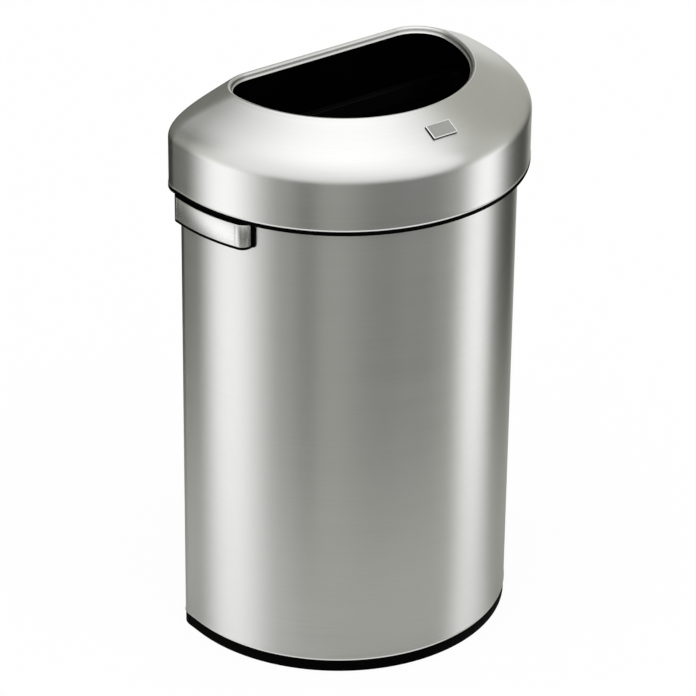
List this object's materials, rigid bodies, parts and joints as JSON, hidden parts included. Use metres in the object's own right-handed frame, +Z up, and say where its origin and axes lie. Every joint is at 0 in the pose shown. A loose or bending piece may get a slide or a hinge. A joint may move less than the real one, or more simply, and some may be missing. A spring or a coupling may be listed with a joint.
{
  "type": "waste bin",
  "caption": "Half-round open-top waste bin: brushed steel body with a flat back, domed lift-off lid with a half-round mouth, inner liner bucket and side grips.",
  "frame": {"origin": "on the floor, in the middle of the bin's overall width and depth", "axes": "+Z up, +X to the bin's left side as it faces the user (to the right in a front view), +Y towards the flat back, so the round front faces -Y"},
  "size_m": [0.455, 0.2838, 0.7118],
  "materials": {
    "body_steel": "brushed upright, satin",
    "lid_steel": "brushed round the lid, satin",
    "grip_steel": "brushed, satin",
    "plate_steel": "fine satin, bare",
    "zinc_steel": "zinc plated",
    "black_moulding": "moulded, fine grain",
    "liner_plastic": "moulded, smooth",
    "pad_rubber": "matt"
  },
  "bodies": {
    "bin_body": {"body_shell": "body_steel", "base_moulding": "black_moulding", "top_collar": "black_moulding", "foot_pad_1": "pad_rubber", "foot_pad_2": "pad_rubber", "foot_pad_3": "pad_rubber", "foot_pad_4": "pad_rubber", "grip_core_left": "black_moulding", "grip_skin_left": "grip_steel", "grip_backing_left": "zinc_steel", "grip_screw_left_1": "zinc_steel", "grip_screw_left_2": "zinc_steel", "grip_core_right": "black_moulding", "grip_skin_right": "grip_steel", "grip_backing_right": "zinc_steel", "grip_screw_right_1": "zinc_steel", "grip_screw_right_2": "zinc_steel"},
    "liner": {"liner_bucket": "liner_plastic"},
    "bag_holder": {"bag_ring": "black_moulding"},
    "lid": {"lid_shell": "lid_steel", "lid_frame": "black_moulding", "mouth_liner": "black_moulding", "front_plate": "plate_steel", "lid_screw_1": "zinc_steel", "lid_screw_2": "zinc_steel", "lid_screw_3": "zinc_steel", "lid_screw_4": "zinc_steel", "lid_screw_5": "zinc_steel", "lid_screw_6": "zinc_steel", "lid_screw_7": "zinc_steel", "lid_screw_8": "zinc_steel"}
  },
  "joints": [
    {"name": "liner_lift", "type": "slide", "parent": "bin_body", "child": "liner", "axis": [0, 0, 1], "range_m": [0, 0.64]},
    {"name": "bag_ring_lift", "type": "slide", "parent": "liner", "child": "bag_holder", "axis": [0, 0, 1], "range_m": [0, 0.06]},
    {"name": "lid_lift", "type": "slide", "parent": "bag_holder", "child": "lid", "axis": [0, 0, 1], "range_m": [0, 0.12]}
  ]
}
